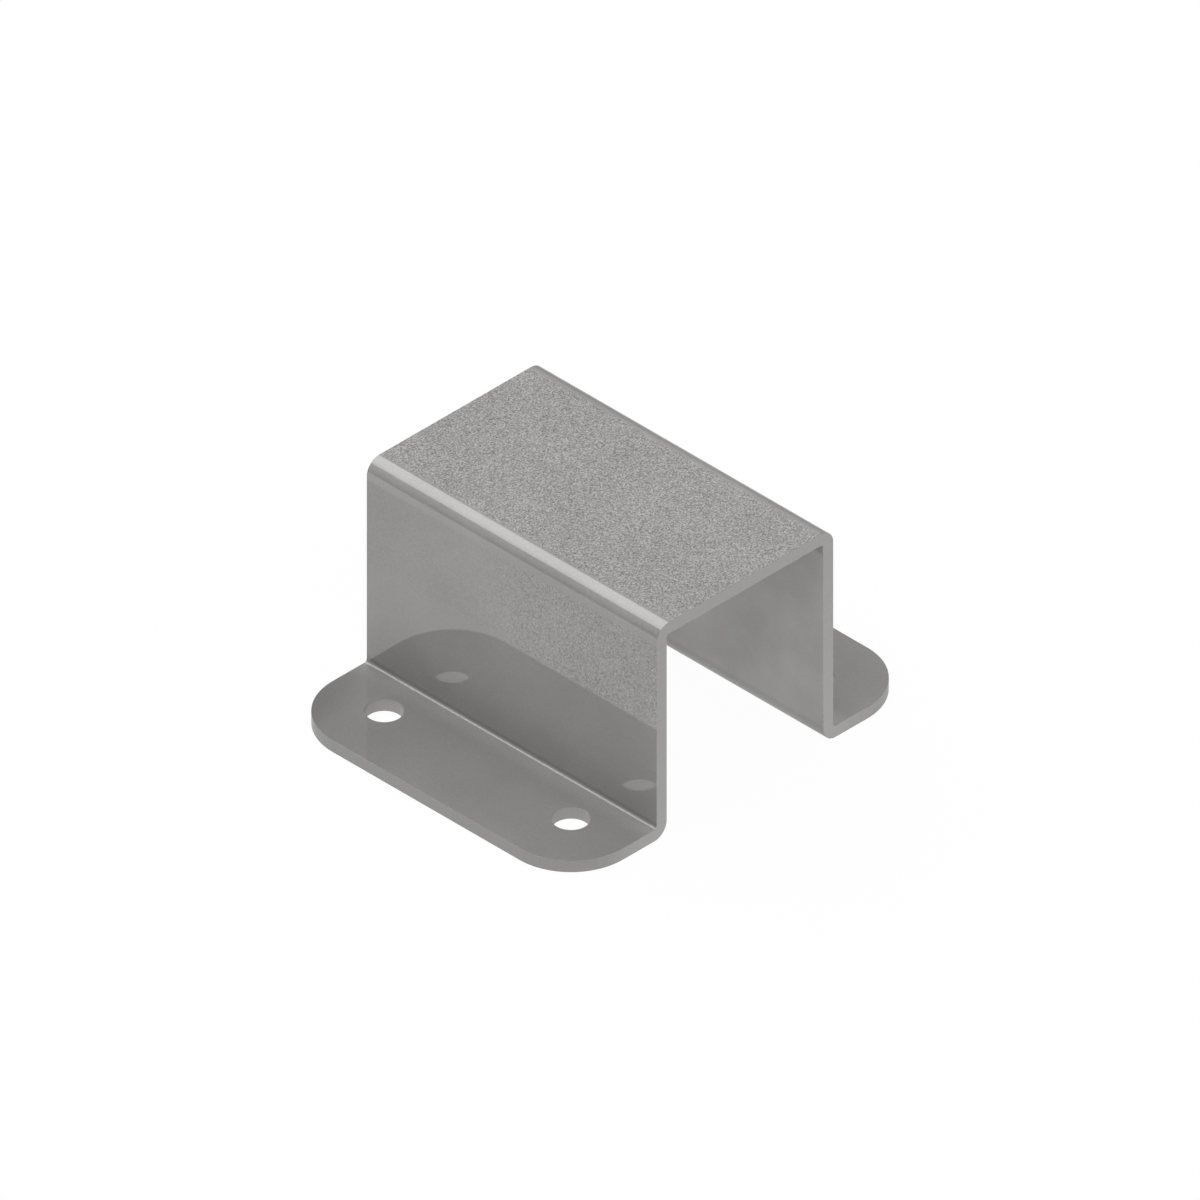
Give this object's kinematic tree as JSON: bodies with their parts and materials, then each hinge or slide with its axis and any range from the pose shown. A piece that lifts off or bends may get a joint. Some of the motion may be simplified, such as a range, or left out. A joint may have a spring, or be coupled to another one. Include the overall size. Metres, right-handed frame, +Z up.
{
  "type": "clamping bracket",
  "caption": "Hat-section clamping bracket folded from one strip of steel sheet: a square-topped channel drops over a bar or tube and is bolted down through two flat feet with rounded corners.",
  "frame": {"origin": "centre of the footprint, on the surface that the feet stand on", "axes": "+X across the bracket from one foot to the other, +Y along the bends and the channel, +Z up from the mounting surface to the channel's top"},
  "size_m": [0.138, 0.115, 0.0725],
  "materials": {
    "steel": "satin, fine-grained bare steel sheet"
  },
  "bodies": {
    "root": {"bracket": "steel"}
  },
  "joints": []
}
